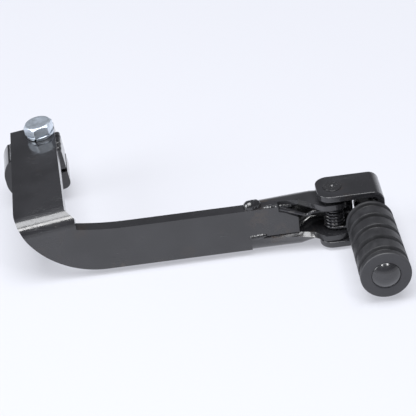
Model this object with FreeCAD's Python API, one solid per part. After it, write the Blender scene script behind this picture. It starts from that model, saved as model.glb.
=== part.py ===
import FreeCAD, Part
import math
import os
from FreeCAD import Base

os.makedirs("parts", exist_ok=True)

# Folding-tip gear shift lever. Millimetres. The origin is the centre of the spindle bore.
# +Y runs along the bore toward the engine, +X runs forward along the arm, +Z is up.

# ---- overall sizes ------------------------------------------------------------------
reach = 109.85            # spindle to pivot pin, along the arm
strip_length = 70.1       # rear end of the strip to the arm's outer face
plate = 4.8               # thickness of the arm's flat stock
arm_top = 7.5             # height of the arm's upper edge
arm_bottom = -9.3         # height of the arm's lower edge
rear_tilt = 7.7           # degrees between the rear strip and the arm
# ---- rear strip, fold and arm -------------------------------------------------------
strip_left = -4.2         # left edge of the strip, measured from the bore centre
strip_width = 17.1        # width of the rear strip at its free end
strip_flare = 1.0         # how much the strip widens toward the fold
edge_lean = 0.014         # lean of the strip's left edge, per unit of length
bend_radius = 8.0         # outer radius of the fold
heel_radius = 33.0        # big rounded outer corner where strip and arm meet
corner_start = 3.3        # fold start to the inner corner's first point, along the sheet
corner_length = 4.0       # length of the slanted inner corner, along the sheet
corner_step = 2.8         # width of the slanted inner corner
throat_back = 0.2         # lean of the short edge above the inner corner
ramp_rise = 1.5           # height of the sweep where the arm's top meets the corner
ramp_length = 18.6        # length of that sweep
ramp_start = 1.1          # corner to the start of the sweep
arm_tip_gap = 13.45       # pivot to the front end of the arm
arm_lap = 17.8            # length of the narrowed end that lies in the bracket
lap_bottom = -4.2         # lower edge of the narrowed end
nose_high = 2.2           # height of the chamfered nose at the arm's very end
nose_run = 5.1            # length of the nose's slope
nose_low = 2.6            # depth of the nose below the arm's top at the end of the slope
notch_run = 7.1           # arm's end to the notch in its top edge
notch_depth = 2.1         # depth of that notch
# ---- clamp hub ----------------------------------------------------------------------
hub_length = 14.0         # length of the hub along the bore
bore_minor = 4.2          # radius to the serration crests
serration_depth = 0.35    # depth of the serrations
serrations = 24           # number of serrations round the bore
crest_share = 0.45        # share of the pitch taken by each crest
hub_wall = 5.25           # ring wall outside the serrations
hub_rise = 2.0            # straight part of the ring's left flank
seat_drop = 0.6           # ring's radius less the height of its flat seat
ear_reach_wall = 3.4      # metal beyond the bolt on the ears' free side
ear_drop = 8.0            # bore centre to the underside of the lower ear
ear_round = 3.0           # radius of the lower ear's corner
seat_round = 1.5          # radius of the upper ear's corner
foot_turn = 8.8           # degrees from straight down to where the ring meets the ear
slit_width = 1.5          # gap between the clamp ears
slit_overlap = 1.5        # how far the slit's cutter reaches into the bore
# ---- pinch bolt and spring washer ---------------------------------------------------
bolt_radius = 3.0         # M6 shank
bolt_length = 22.0        # under the head
hex_flats = 10.0          # across the flats of the head
hex_height = 4.0          # height of the head
hex_turn = 10.0           # degrees the head is turned
crown_round = 0.3         # how far the head's crown is smaller than the flats
crown_slope = 1.175       # sideways run of the crown's cone per unit of height
washer_radius = 5.3       # outer radius of the spring washer
washer_height = 1.5       # thickness of the spring washer
split_width = 0.8         # gap in the spring washer
split_turn = 242.0        # degrees round to the gap
split_slant = 35.0        # slant of the gap in degrees
# ---- end bracket --------------------------------------------------------------------
pivot_inset = 3.8         # pivot behind the arm's outer face
bracket_wall = 2.1        # sheet thickness of the end bracket
fold_radius = 5.5         # outer radius of the bracket's folds
ear_top = 6.9             # upper face of the upper ear
ear_bottom = -8.1         # lower face of the lower ear
ear_radius = 6.7          # rounded end of the ears
web_rear = 7.4            # pivot line to the web's outer face, at the rear end
web_mid = 10.0            # the same at the ears
web_front = 6.3           # the same at the front end of the web
web_taper = 0.4           # how much nearer the web runs just before and after its widest place
rear_rise = 0.1           # how much higher the bracket's rear end is
belly_depth = 1.9         # depth of the rounded belly below the arm's lower edge
belly_taper = 0.3         # rise of the belly up to the arm's end
lip_stand = 0.3           # how far the lip stands outside the arm's face at the rear
open_run = 0.6            # arm's end to where the lip leans out
open_inset = 4.6          # arm's face to the centre of the lip's fold there
open_turn = 62.0          # degrees of fold there
open_length = 3.0         # straight part of the lip there
low_run = 5.5             # arm's end to where the belly has risen to the ear
low_inset = 2.2           # arm's face to the centre of the lip's fold there
low_turn = 42.0           # degrees of fold there
low_length = 0.6          # straight part of the lip there
flat_run = 4.25           # from where the lip is all but flat to the pivot
flat_inset = 1.9          # ear's front to the centre of the lip's fold there
flat_turn = 10.0          # degrees of fold there
flat_length = 0.8         # straight part of the lip there
ear_corner_far = 4.6      # start of the ear's slanted corner behind the pivot
ear_corner_near = 3.6     # end of that corner
ear_corner_in = 0.4       # depth of that corner
blob_radius = 2.8         # big weld on the arm's upper edge
# ---- pivot pin and spacer -----------------------------------------------------------
pin_radius = 2.25         # shank of the pivot pin
pin_head = 3.3            # radius of the flush head
pin_head_height = 0.9     # depth of the head's seat
pin_proud = 0.2           # how far the head stands above the plate
pin_foot = 1.2            # height of the hammered lower end
dimple_radius = 1.2       # dimple in the middle of the head
spacer_radius = 4.4       # outside of the spacer ring
spacer_height = 1.4       # spacer between the upper ear and the tip bracket
# ---- folding tip --------------------------------------------------------------------
tip_sheet = 2.4           # thickness of the tip bracket's plates
tip_web = 2.2             # thickness of the tip bracket's end web
tip_half = 7.5            # half the width of the tip bracket
tip_left = 5.95           # pivot to the rounded rear end of the tip bracket
tip_corner = 4.8          # corner radius of that end
tip_bend = 4.2            # outer radius of the tip bracket's folds
peg_offset = 11.95        # pivot to the peg's axis
peg_z = -0.4              # height of the peg's axis
peg_radius = 4.0          # steel rod
peg_back = 5.1            # rear end of the rod behind the pivot line
dome_radius = 5.2         # base radius of the rod's domed head
dome_height = 2.3         # height of the dome
collar_height = 0.8       # flat collar sunk into the rubber under the dome
# ---- rubber grip --------------------------------------------------------------------
grip_length = 36.9        # length of the rubber
grip_gap = 1.1            # tip bracket to the rubber
grip_wall_rear = 4.75     # rubber outside the rod at the inner end
grip_wall_front = 5.25    # rubber outside the rod at the outer end
groove_count = 5          # number of grooves
first_groove = 2.5        # inner end to the first groove's centre
groove_pitch = 7.65       # spacing of the grooves
groove_width = 2.2        # width of a groove at the surface
groove_floor = 0.6        # width of its floor as a share of the width
groove_depth = 1.2        # depth of a groove
grip_round_rear = 0.5     # corner of the inner end
grip_round_front = 0.6    # corner of the outer end
# ---- torsion spring -----------------------------------------------------------------
wire_radius = 0.6         # spring wire
coil_radius = 3.2         # mean radius of the coil
coil_turns = 6            # number of turns
wire_hair = 0.03          # share by which the elbows are thicker and the legs thinner
leg_bends = ((5.0, 3.4), (3.4, 4.6), (-6.7, 0.3))  # upper leg: ahead of the arm's end, below its top
# ---- named clearances ---------------------------------------------------------------
running = 0.05            # radial running clearance of the pin in ears and spacer
thread_clearance = 0.1    # radial clearance round the bolt
bore_clearance = 0.05     # serration roots to the bolt's hole
plate_gap = 0.3           # gap between moving plates
coil_gap = 0.55           # ear faces to the outermost turns of the coil
leg_gap = 0.05            # spring legs to what they lean on
lip_gap = 0.2             # lip's edge to the arm's narrowed end
margin = 20.0             # how far cutters reach beyond the material
overlap = 0.5             # how far joined solids run into each other

# ---- values that follow from the dimensions -----------------------------------------
bore_major = bore_minor + serration_depth
hub_radius = bore_major + hub_wall
seat = hub_radius - seat_drop
strip_height = seat + plate
bolt_offset = bore_major + bolt_radius + thread_clearance + bore_clearance
ear_reach = bolt_offset + bolt_radius + ear_reach_wall
hub_front = -hub_length / 2
hub_back = hub_length / 2
strip_right = strip_left + strip_width
face_y = hub_back - strip_length
arm_back = face_y + plate
fold_y = face_y + bend_radius
fold_z = strip_height - bend_radius
fold_start = strip_length - bend_radius
fold_end = fold_start + bend_radius * math.pi / 2
cos_tilt = math.cos(math.radians(rear_tilt))
sin_tilt = math.sin(math.radians(rear_tilt))
pivot_x = reach
pivot_y = face_y + pivot_inset
arm_end = pivot_x - arm_tip_gap
bracket_start = arm_end - arm_lap
upper_ear_under = ear_top - bracket_wall
lower_ear_over = ear_bottom + bracket_wall
spacer_top = ear_top + spacer_height
tip_top = spacer_top + plate_gap + tip_sheet
tip_bottom = ear_bottom - plate_gap - tip_sheet
head_seat = tip_top - pin_head_height
tip_front = pivot_y - tip_half
tip_back = pivot_y + tip_half
peg_x = pivot_x + peg_offset
tip_end = peg_x + peg_radius + tip_web
web_inner = tip_end - tip_web
peg_rear = pivot_y + peg_back
grip_rear = tip_front - grip_gap
peg_front = grip_rear - grip_length
UP = Base.Vector(0, 0, 1)
OUTWARD = Base.Vector(0, -1, 0)
ORIGIN = Base.Vector(0, 0, 0)
HALF_TURN_SHARE = math.cos(math.radians(45))


def tilted(x, z):
    """Point of the side view given along the arm, expressed square to the rear strip."""
    return (cos_tilt * x + sin_tilt * z, cos_tilt * z - sin_tilt * x)


def side_wire(steps, y):
    """Closed outline in the side view; a step is a corner (x, z) or an arc (mid, end)."""
    edges = []
    here = Base.Vector(steps[0][0], y, steps[0][1])
    first = here
    for step in steps[1:] + [steps[0]]:
        if isinstance(step[0], tuple):
            mid = Base.Vector(step[0][0], y, step[0][1])
            there = Base.Vector(step[1][0], y, step[1][1])
            edges.append(Part.Arc(here, mid, there).toShape())
        else:
            there = Base.Vector(step[0], y, step[1])
            if (there - here).Length > 1e-6:
                edges.append(Part.makeLine(here, there))
        here = there
    if (first - here).Length > 1e-6:
        edges.append(Part.makeLine(here, first))
    return Part.Wire(edges)


def slab(wire, direction):
    """Solid swept from a flat closed outline."""
    return Part.Face(wire).extrude(direction)


def rod(radius, start, end):
    """Round bar between two points."""
    a = Base.Vector(*start)
    b = Base.Vector(*end)
    return Part.makeCylinder(radius, (b - a).Length, a, b - a)


def post(radius, x, y, low, high):
    """Upright round bar."""
    return rod(radius, (x, y, low), (x, y, high))


bead_ripple = 0.08        # size difference between neighbouring ripples of a weld


def bead(start, end, radius, balls):
    """Weld bead: a row of merged balls of slightly different size."""
    a = Base.Vector(*start)
    b = Base.Vector(*end)
    row = []
    for i in range(balls):
        size = radius * (1 - bead_ripple * ((i + 1) % 2))
        row.append(Part.makeSphere(size, a + (b - a) * (i / (balls - 1)), b - a))
    return row[0].fuse(row[1:])


def save(name, shape):
    shape.removeSplitter().exportStep("parts/" + name + ".step")


def tilt(shape):
    """Turn a shape built square to the strip into the lever's own frame."""
    turned = shape.copy()
    turned.rotate(ORIGIN, Base.Vector(0, 1, 0), -rear_tilt)
    return turned


# ---- lever arm: strip, fold and arm from one flat plate ------------------------------
# Flat pattern: x across the strip, s along the sheet from the strip's free end.
arm_line = fold_end + fold_z - arm_bottom / cos_tilt
lean_length = math.hypot(1, edge_lean)
lean_x = 1 / lean_length
lean_s = edge_lean / lean_length
reach_one = heel_radius + strip_left * lean_x
reach_two = heel_radius - arm_line * cos_tilt
determinant = -lean_x * cos_tilt - lean_s * sin_tilt
heel_x = (-reach_one * cos_tilt - lean_s * reach_two) / determinant
heel_s = (lean_x * reach_two - sin_tilt * reach_one) / determinant
heel_begin = heel_s - heel_radius * lean_s


def outer_edge(s):
    """Left edge of the flat pattern at the length s."""
    if s < heel_begin:
        return strip_left - edge_lean * s
    return heel_x - math.sqrt(heel_radius ** 2 - (s - heel_s) ** 2)


corner_in = (strip_right + strip_flare, fold_start + corner_start)
corner_out = (corner_in[0] + corner_step, corner_in[1] + corner_length)
throat_x = corner_out[0] - throat_back


def inner_edge(s):
    """Right edge of the flat pattern at the length s."""
    if s < corner_in[1]:
        return strip_right + strip_flare * s / corner_in[1]
    if s < corner_out[1]:
        share = (s - corner_in[1]) / corner_length
        return corner_in[0] + share * corner_step
    share = (s - corner_out[1]) / (fold_end - corner_out[1])
    return corner_out[0] - share * throat_back


def flat_point(x, s):
    return Base.Vector(x, hub_back - s, strip_height)


strip_edge = [flat_point(outer_edge(s), s) for s in (0, heel_begin, fold_start)]
strip_edge.append(flat_point(inner_edge(fold_start), fold_start))
strip_edge.append(flat_point(inner_edge(0), 0))
strip = slab(Part.makePolygon(strip_edge + [strip_edge[0]]), UP * -plate)

far_left = strip_left - margin
far_right = throat_x + margin
fold_profile = Part.makePolygon([
    Base.Vector(far_left, fold_y, strip_height),
    Base.Vector(far_right, fold_y, strip_height),
    Base.Vector(far_right, fold_y, seat),
    Base.Vector(far_left, fold_y, seat),
    Base.Vector(far_left, fold_y, strip_height)])
fold = Part.Face(fold_profile).revolve(Base.Vector(0, fold_y, fold_z), Base.Vector(1, 0, 0), 90)
fold_steps = 24
waste_inner = (bend_radius - plate) / 2
waste_outer = bend_radius + 1


def fold_section(index, x_of, far):
    """Radial slice of the waste beside the fold, from the sheet's edge outward."""
    angle = index * math.pi / 2 / fold_steps
    edge = x_of(fold_start + bend_radius * angle)
    corners = []
    for x, r in ((edge, waste_inner), (far, waste_inner), (far, waste_outer), (edge, waste_outer),
                 (edge, waste_inner)):
        corners.append(Base.Vector(x, fold_y - r * math.sin(angle), fold_z + r * math.cos(angle)))
    return Part.makePolygon(corners)


for x_of, far in ((outer_edge, far_left - 1), (inner_edge, far_right + 1)):
    sections = [fold_section(i, x_of, far) for i in range(fold_steps + 1)]
    fold = fold.cut(Part.makeLoft(sections, True, True))

heel_mid_turn = math.radians(55)
heel_mid_s = heel_s + heel_radius * math.sin(heel_mid_turn)
heel_mid = (outer_edge(heel_mid_s), fold_z + fold_end - heel_mid_s)
heel_end = (heel_x - heel_radius * sin_tilt, fold_z + fold_end - heel_s - heel_radius * cos_tilt)
ramp_x = throat_x - ramp_start
ramp_end_x = ramp_x + ramp_length
ramp_mid_x = ramp_x + ramp_length / 2
ramp_radius = (ramp_length ** 2 + ramp_rise ** 2) / (2 * ramp_rise)
ramp_mid_z = arm_top + ramp_radius - math.sqrt(ramp_radius ** 2 - (ramp_length / 2) ** 2)
face_outline = [
    (outer_edge(fold_end), fold_z),
    (heel_mid, heel_end),
    tilted(bracket_start, arm_bottom),
    tilted(bracket_start, lap_bottom),
    tilted(arm_end, lap_bottom),
    tilted(arm_end, nose_high),
    tilted(arm_end - nose_run, arm_top - nose_low),
    tilted(arm_end - notch_run, arm_top - notch_depth),
    tilted(arm_end - notch_run, arm_top),
    tilted(ramp_end_x, arm_top),
    (tilted(ramp_mid_x, ramp_mid_z), tilted(ramp_x, arm_top + ramp_rise)),
    (throat_x, fold_z)]
face = slab(side_wire(face_outline, face_y), OUTWARD * -plate)
arm = strip.fuse([fold, face])

bolt_y = 0.0
bolt_hole = post(bolt_radius + thread_clearance, bolt_offset, bolt_y, -margin, strip_height + margin)
save("lever_arm", tilt(arm.cut(bolt_hole)))

# ---- clamp hub ------------------------------------------------------------------------
seat_left = -math.sqrt(hub_radius ** 2 - (seat - hub_rise) ** 2)
crown_turn = math.radians(155)
crown_mid = (hub_radius * math.cos(crown_turn), hub_rise + hub_radius * math.sin(crown_turn))
foot_angle = math.radians(foot_turn)
foot = (hub_radius * math.sin(foot_angle), -hub_radius * math.cos(foot_angle))
side_turn = math.radians(225)
side_mid = (hub_radius * math.cos(side_turn), hub_radius * math.sin(side_turn))
seat_cut = seat_round * (1 - HALF_TURN_SHARE)
ear_cut = ear_round * (1 - HALF_TURN_SHARE)
hub_outline = [
    (seat_left, seat),
    (ear_reach - seat_round, seat),
    ((ear_reach - seat_cut, seat - seat_cut), (ear_reach, seat - seat_round)),
    (ear_reach, ear_round - ear_drop),
    ((ear_reach - ear_cut, ear_cut - ear_drop), (ear_reach - ear_round, -ear_drop)),
    foot,
    (side_mid, (-hub_radius, 0)),
    (-hub_radius, hub_rise),
    (crown_mid, (seat_left, seat))]
hub = slab(side_wire(hub_outline, hub_back), OUTWARD * hub_length)
bore = rod(bore_minor, (0, hub_back + 1, 0), (0, hub_front - 1, 0))
pitch_angle = 2 * math.pi / serrations
half_gap = (1 - crest_share) * pitch_angle / 2
grooves = []
for tooth in range(serrations):
    middle = tooth * pitch_angle
    outline = [(bore_major * math.cos(middle), bore_major * math.sin(middle))]
    for side in (1, -1):
        angle = middle + side * half_gap
        outline.append((bore_minor * math.cos(angle), bore_minor * math.sin(angle)))
        deep = bore_minor - serration_depth
        outline.append((deep * math.cos(middle), deep * math.sin(middle)))
    grooves.append(slab(side_wire(outline[:4], hub_back + 1), OUTWARD * (hub_length + 2)))
slit = Part.makeBox(ear_reach + margin, hub_length + 2, slit_width,
                    Base.Vector(bore_minor - slit_overlap, hub_front - 1, -slit_width / 2))
save("clamp_hub", tilt(hub.cut([bore, slit, bolt_hole] + grooves)))

weld_end = hub_back - 1.4
hub_bead = 1.15
hub_bead_balls = 9
left_x = strip_left - hub_bead / 2
right_x = strip_right + hub_bead / 4
for name, x in (("hub_weld_left", left_x), ("hub_weld_right", right_x)):
    ends = [(x, y, seat - 0.1) for y in (-weld_end, weld_end)]
    save(name, tilt(bead(ends[0], ends[1], hub_bead, hub_bead_balls)))

# ---- pinch bolt and spring washer -----------------------------------------------------
washer_top = strip_height + washer_height
hex_points = []
for side in range(6):
    angle = math.radians(60 * side - 90 + hex_turn)
    corner_radius = hex_flats / 2 / math.cos(math.radians(30))
    hex_points.append(Base.Vector(bolt_offset + corner_radius * math.cos(angle),
                                  bolt_y + corner_radius * math.sin(angle), washer_top))
head = slab(Part.makePolygon(hex_points + [hex_points[0]]), UP * hex_height)
crown_top = hex_flats / 2 - crown_round
crown = Part.makeCone(crown_top + crown_slope * hex_height, crown_top, hex_height,
                      Base.Vector(bolt_offset, bolt_y, washer_top), UP)
shank = post(bolt_radius, bolt_offset, bolt_y, washer_top - bolt_length, washer_top)
save("pinch_bolt", tilt(head.common(crown).fuse(shank)))

washer = post(washer_radius, bolt_offset, bolt_y, strip_height, washer_top).cut(bolt_hole)
split = Part.makeBox(washer_radius, split_width, washer_height * 3,
                     Base.Vector(bolt_offset + bolt_radius / 2, bolt_y - split_width / 2,
                                 strip_height - washer_height))
split.rotate(Base.Vector(bolt_offset, bolt_y, strip_height + washer_height / 2),
             Base.Vector(1, 0, 0), split_slant)
split.rotate(Base.Vector(bolt_offset, bolt_y, 0), UP, split_turn)
save("lock_washer", tilt(washer.cut(split)))

# ---- end bracket: rounded channel whose lower lip opens out into the lower ear ---------


def fold_arc(y, z, radius, start, sweep):
    """Points of a fold in the cross-section, from the start angle in degrees."""
    points = []
    for turn in (start, start + sweep / 2, start + sweep):
        angle = math.radians(turn)
        points.append((y + radius * math.cos(angle), z + radius * math.sin(angle)))
    return points


def section(x, path):
    """Closed cross-section from corners (one point) and folds (three points)."""
    edges = []
    last = None
    for piece in path + [path[0]]:
        spots = [Base.Vector(x, y, z) for y, z in piece]
        if last is not None:
            edges.append(Part.makeLine(last, spots[0]))
        if len(spots) == 3:
            edges.append(Part.Arc(*spots).toShape())
        last = spots[-1]
    return Part.Wire(edges)


fold_inner = fold_radius - bracket_wall


def channel(x, top, bottom, web, lip):
    """Short upper flange, web, and a lower flange whose lip leans at an angle."""
    lip_y, lip_turn, lip_length = lip
    back = pivot_y + web - fold_radius
    high = top - fold_radius
    low = bottom + fold_radius
    lean = math.radians(lip_turn)
    lip_fold = fold_arc(lip_y, low, fold_radius, -90, -lip_turn)
    tip_y = lip_fold[-1][0] - math.cos(lean) * lip_length
    tip_z = lip_fold[-1][1] + math.sin(lean) * lip_length
    return section(x, [
        [(arm_back, top)],
        fold_arc(back, high, fold_radius, 90, -90),
        fold_arc(back, low, fold_radius, 0, -90),
        lip_fold,
        [(tip_y, tip_z)],
        [(tip_y + bracket_wall * math.sin(lean), tip_z + bracket_wall * math.cos(lean))],
        fold_arc(lip_y, low, fold_inner, -90 - lip_turn, lip_turn),
        fold_arc(back, low, fold_inner, -90, 90),
        fold_arc(back, high, fold_inner, 0, 90),
        [(arm_back, top - bracket_wall)]])


def web_section(x, web):
    """The web and the roots of both flanges, ahead of the pivot."""
    back = pivot_y + web - fold_radius
    return section(x, [
        [(back - overlap, ear_top)],
        fold_arc(back, ear_top - fold_radius, fold_radius, 90, -90),
        fold_arc(back, ear_bottom + fold_radius, fold_radius, 0, -90),
        [(back - overlap, ear_bottom)],
        [(back - overlap, lower_ear_over)],
        fold_arc(back, ear_bottom + fold_radius, fold_inner, -90, 90),
        fold_arc(back, ear_top - fold_radius, fold_inner, 0, 90),
        [(back - overlap, upper_ear_under)]])


belly = arm_bottom - belly_depth
lip_rise = lap_bottom - lip_gap - belly - fold_radius
open_x = arm_end + open_run
low_x = arm_end + low_run
flat_x = pivot_x - flat_run
web_end = peg_x - peg_radius - plate_gap
lip_rear = (face_y - lip_stand + fold_radius, 90, lip_rise)
lip_open = (face_y + open_inset, open_turn, open_length)
lip_low = (face_y + low_inset, low_turn, low_length)
lip_flat = (pivot_y - ear_radius + flat_inset, flat_turn, flat_length)
stations = [
    channel(bracket_start, ear_top + rear_rise, belly, web_rear, lip_rear),
    channel(open_x, ear_top, belly + belly_taper, web_mid - web_taper, lip_open),
    channel(low_x, ear_top, ear_bottom, web_mid, lip_low),
    channel(flat_x, ear_top, ear_bottom, web_mid - web_taper, lip_flat)]
body = [Part.makeLoft([a, b], True, True) for a, b in zip(stations, stations[1:])]
body.append(Part.makeLoft([web_section(flat_x, web_mid - web_taper), web_section(web_end, web_front)],
                          True, True))

ear_front = pivot_y - ear_radius
ear_end = pivot_x + ear_radius


def fold_line(x):
    """Where the flat of a flange meets the fold of the web, ahead of the pivot."""
    share = (x - flat_x) / (web_end - flat_x)
    web = web_mid - web_taper + share * (web_front - web_mid + web_taper)
    return pivot_y + web - fold_radius


def ear(z, start):
    """Flat ear with a rounded end at the pin and a slanted front edge."""
    spots = [
        Base.Vector(start[0], start[1], z),
        Base.Vector(pivot_x - ear_corner_far, ear_front + ear_corner_in, z),
        Base.Vector(pivot_x - ear_corner_near, ear_front, z),
        Base.Vector(pivot_x, ear_front, z)]
    side = Base.Vector(ear_end, pivot_y, z)
    root = Base.Vector(ear_end, fold_line(ear_end), z)
    middle = Base.Vector(flat_x, fold_line(flat_x), z)
    close = Base.Vector(start[0], fold_line(flat_x), z)
    spread = ear_radius * HALF_TURN_SHARE
    edges = [Part.makeLine(a, b) for a, b in zip(spots, spots[1:])]
    edges.append(Part.Arc(spots[-1], Base.Vector(pivot_x + spread, pivot_y - spread, z), side).toShape())
    corners = [side, root, middle, close, spots[0]]
    edges += [Part.makeLine(a, b) for a, b in zip(corners, corners[1:])]
    return slab(Part.Wire(edges), UP * bracket_wall)


upper_ear = ear(upper_ear_under, (open_x, arm_back))
lower_ear = ear(ear_bottom, (low_x + overlap, lip_low[0] + overlap))
pin_hole = post(pin_radius + running, pivot_x, pivot_y, -margin, margin)
bracket = body[0].fuse(body[1:] + [upper_ear, lower_ear]).cut(pin_hole)
save("end_bracket", bracket)

# ---- welds of the end bracket ----------------------------------------------------------
save("bracket_weld_blob", Part.makeSphere(blob_radius, Base.Vector(
    bracket_start + 1.5, arm_back - 2.0, arm_top + 0.3)))
top_y = face_y + 1.4
save("bracket_weld_top", bead((bracket_start + 5.6, top_y, arm_top - 1.0),
                              (bracket_start + 9.4, top_y, arm_top - 1.2), 1.5, 4))
save("bracket_weld_face", bead((bracket_start + 0.6, face_y + 0.7, lap_bottom - 0.2),
                               (bracket_start + 5.0, face_y + 0.6, lap_bottom + 0.1), 1.05, 5))
back_z = upper_ear_under - 0.4
save("bracket_weld_back", bead((bracket_start + 3.4, arm_back + 0.7, back_z),
                               (arm_end - 2.4, arm_back + 0.7, back_z), 1.2, 12))

# ---- pivot pin and spacer ---------------------------------------------------------------
pin_low = tip_bottom - pin_foot
pin = post(pin_radius, pivot_x, pivot_y, pin_low, tip_top)
pin = pin.fuse(post(pin_head, pivot_x, pivot_y, head_seat, tip_top + pin_proud))
pin = pin.fuse(post(pin_head - pin_proud, pivot_x, pivot_y, pin_low, tip_bottom))
dimple = Part.makeSphere(dimple_radius, Base.Vector(pivot_x, pivot_y, tip_top + pin_head_height))
save("pivot_pin", pin.cut(dimple))
save("pivot_spacer", post(spacer_radius, pivot_x, pivot_y, ear_top, spacer_top).cut(pin_hole))

# ---- torsion spring ----------------------------------------------------------------------
coil_low = lower_ear_over + coil_gap + wire_radius
coil_high = upper_ear_under - coil_gap - wire_radius
coil_rise = coil_high - coil_low
helix = Part.makeHelix(coil_rise / coil_turns, coil_rise, coil_radius)
circle = Part.Wire(Part.makeCircle(wire_radius, Base.Vector(coil_radius, 0, 0), Base.Vector(0, 1, 0)))
coil = Part.Wire(helix.Edges).makePipeShell([circle], True, True).mirror(ORIGIN, Base.Vector(0, 1, 0))
coil.rotate(ORIGIN, UP, -90)
coil.translate(Base.Vector(pivot_x, pivot_y, coil_low))
rub_y = face_y - wire_radius - leg_gap
coil_front = pivot_y - coil_radius
upper_leg = [(pivot_x, coil_front, coil_high), (arm_end + 7.2, face_y - 0.1, coil_high + 0.2)]
upper_leg += [(arm_end + ahead, rub_y, arm_top - below) for ahead, below in leg_bends]
rod_side = peg_x - peg_radius - wire_radius - leg_gap
lower_leg = [(pivot_x, coil_front, coil_low), (rod_side - 2.1, coil_front - 0.2, coil_low + 0.1),
             (rod_side, tip_front + 0.4, coil_low + 0.5)]


def leg(points):
    """Straight lengths of wire, a hair thinner than their rounded elbows."""
    parts = [rod(wire_radius * (1 - wire_hair), a, b) for a, b in zip(points, points[1:])]
    parts += [Part.makeSphere(wire_radius * (1 + wire_hair), Base.Vector(*p)) for p in points]
    return parts


save("torsion_spring", coil.fuse(leg(upper_leg) + leg(lower_leg)))

# ---- tip bracket --------------------------------------------------------------------------
tip_rear_x = pivot_x - tip_left
knee = tip_bend * (1 - HALF_TURN_SHARE)
inner_bend = tip_bend - tip_web
inner_knee = inner_bend * (1 - HALF_TURN_SHARE)
upper_under = tip_top - tip_sheet
lower_over = tip_bottom + tip_sheet
channel_outline = [
    (tip_rear_x, tip_top),
    (tip_end - tip_bend, tip_top),
    ((tip_end - knee, tip_top - knee), (tip_end, tip_top - tip_bend)),
    (tip_end, tip_bottom + tip_bend),
    ((tip_end - knee, tip_bottom + knee), (tip_end - tip_bend, tip_bottom)),
    (tip_rear_x, tip_bottom),
    (tip_rear_x, lower_over),
    (web_inner - inner_bend, lower_over),
    ((web_inner - inner_knee, lower_over + inner_knee), (web_inner, lower_over + inner_bend)),
    (web_inner, upper_under - inner_bend),
    ((web_inner - inner_knee, upper_under - inner_knee), (web_inner - inner_bend, upper_under)),
    (tip_rear_x, upper_under)]
tip = slab(side_wire(channel_outline, tip_back), OUTWARD * 2 * tip_half)
for side in (1, -1):
    edge_y = pivot_y + side * tip_half
    square = Part.makeBox(tip_corner, tip_corner, 3 * margin,
                          Base.Vector(tip_rear_x, min(edge_y, edge_y - side * tip_corner), -margin))
    round_off = post(tip_corner, tip_rear_x + tip_corner, edge_y - side * tip_corner,
                     -2 * margin, 2 * margin)
    tip = tip.cut(square.cut(round_off))
tip = tip.cut([post(pin_radius, pivot_x, pivot_y, -margin, margin),
               post(pin_head, pivot_x, pivot_y, head_seat, margin)])
save("tip_bracket", tip)

# ---- peg rod with domed head ----------------------------------------------------------------
collar_y = peg_front + collar_height
ball_radius = (dome_radius ** 2 + dome_height ** 2) / (2 * dome_height)
ball = Part.makeSphere(ball_radius, Base.Vector(peg_x, peg_front - dome_height + ball_radius, peg_z))
cap = Part.makeBox(2 * margin, margin, 2 * margin,
                   Base.Vector(peg_x - margin, peg_front - margin, peg_z - margin))
peg = rod(peg_radius, (peg_x, peg_rear, peg_z), (peg_x, peg_front, peg_z))
peg = peg.fuse(rod(dome_radius, (peg_x, collar_y, peg_z), (peg_x, peg_front, peg_z)))
save("peg_rod", peg.fuse(ball.common(cap)))

# ---- rubber grip -----------------------------------------------------------------------------
radius_rear = peg_radius + grip_wall_rear
radius_front = peg_radius + grip_wall_front


def grip_radius(y):
    return radius_rear + (grip_rear - y) / grip_length * (radius_front - radius_rear)


profile = [(grip_rear, peg_radius), (grip_rear, radius_rear - grip_round_rear),
           (grip_rear - grip_round_rear, radius_rear)]
for number in range(groove_count):
    middle = grip_rear - first_groove - number * groove_pitch
    for half, depth in ((1, 0), (groove_floor, 1), (-groove_floor, 1), (-1, 0)):
        y = middle + half * groove_width / 2
        profile.append((y, grip_radius(y) - depth * groove_depth))
profile += [(peg_front + grip_round_front, radius_front), (peg_front, radius_front - grip_round_front),
            (peg_front, dome_radius), (collar_y, dome_radius), (collar_y, peg_radius)]
grip_wire = Part.makePolygon([Base.Vector(peg_x + r, y, peg_z) for y, r in profile + [profile[0]]])
save("rubber_grip", Part.Face(grip_wire).revolve(Base.Vector(peg_x, 0, peg_z), OUTWARD, 360))

# ---- welds of the peg ---------------------------------------------------------------------------
side_x = web_inner - 0.6
save("peg_weld_rear", bead((peg_x - 1.2, peg_rear + 0.3, peg_z + 0.8 * peg_radius),
                           (web_inner - 0.2, peg_rear + 0.5, peg_z + 1.1 * peg_radius), 1.5, 4))
for name, side in (("peg_weld_side", 1), ("peg_weld_under", -1)):
    z = peg_z + side * 0.9 * peg_radius
    save(name, bead((side_x, peg_rear - 3.0, z), (side_x, tip_front + 1.4, z), 1.1, 8))
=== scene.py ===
# %% [markdown]
# # A folding-tip gear shift lever
#
# This file is a lesson in cells. It dresses a lever for a motorcycle's gearbox: a flat steel bar
# folded once, a clamp that grips the gearbox spindle, and a rubber-covered peg that can fold away.
# The engineering model comes first, as a fixed frame in metres. The shapes made here lie in it.

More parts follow.
